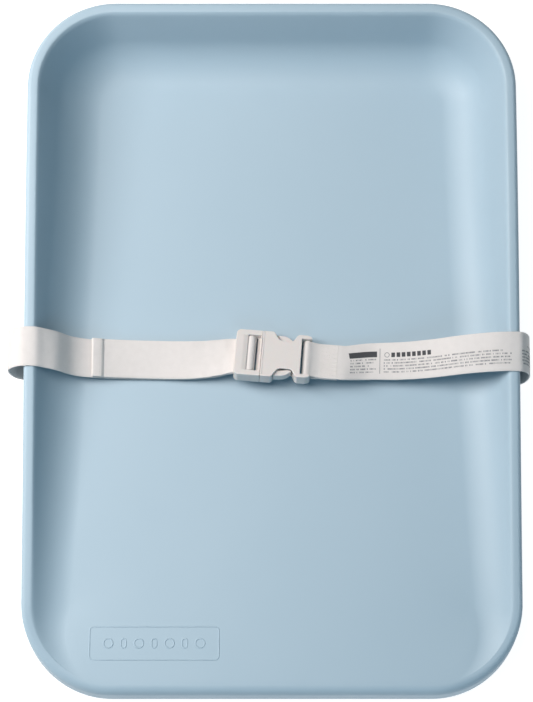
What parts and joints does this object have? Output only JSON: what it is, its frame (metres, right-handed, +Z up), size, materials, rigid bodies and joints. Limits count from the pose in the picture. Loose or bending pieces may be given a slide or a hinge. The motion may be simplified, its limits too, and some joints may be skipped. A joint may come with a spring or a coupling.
{
  "type": "changing pad",
  "caption": "Contoured moulded foam changing pad with raised sides and head end, a low foot end, and a webbing safety strap with a side-release buckle.",
  "frame": {"origin": "under the middle of the foam tray, on the surface that the pad stands on; the strap bulges about 6 mm further on the left, so the whole box's middle is 3 mm to the left of it", "axes": "+Z up, +Y towards the raised head end, +X to the right as seen from the foot end"},
  "size_m": [0.532, 0.707, 0.1],
  "materials": {
    "foam_skin": "satin",
    "non_slip_rubber": "matte",
    "webbing": "matte",
    "thread": "matte",
    "buckle_plastic": "satin"
  },
  "bodies": {
    "pad": {"foam_pad": "foam_skin", "foot_pad_head_left": "non_slip_rubber", "foot_pad_head_right": "non_slip_rubber", "foot_pad_foot_left": "non_slip_rubber", "foot_pad_foot_right": "non_slip_rubber", "webbing_under": "webbing", "webbing_left": "webbing", "webbing_tail": "webbing", "webbing_right": "webbing", "tail_hem_stitching": "thread", "buckle_plug": "buckle_plastic"},
    "socket": {"buckle_socket": "buckle_plastic", "webbing_socket_loop": "webbing", "lap_stitching": "thread"},
    "prong_head": {"prong_head_side": "buckle_plastic"},
    "prong_foot": {"prong_foot_side": "buckle_plastic"}
  },
  "joints": [
    {"name": "buckle_release", "type": "slide", "parent": "pad", "child": "socket", "axis": [0.9969, -0.0785, 0], "range_m": [0, 0.038], "deforming": ["webbing_right"]},
    {"name": "prong_press", "type": "hinge", "parent": "pad", "child": "prong_head", "pos_m": [-0.00702, 0.00757, 0.0401], "axis": [0.0242, 0.3081, 0.9511], "range_deg": [-7, 0], "stiffness_Nm_per_rad": 0.8},
    {"name": "prong_press_foot_side", "type": "hinge", "parent": "pad", "child": "prong_foot", "pos_m": [-0.00979, -0.0277, 0.05159], "axis": [0.0242, 0.3081, 0.9511], "range_deg": [0, 7], "stiffness_Nm_per_rad": 0.8}
  ],
  "couplings": [
    {"joint": "prong_press_foot_side", "follows": "prong_press", "ratio": -1}
  ]
}
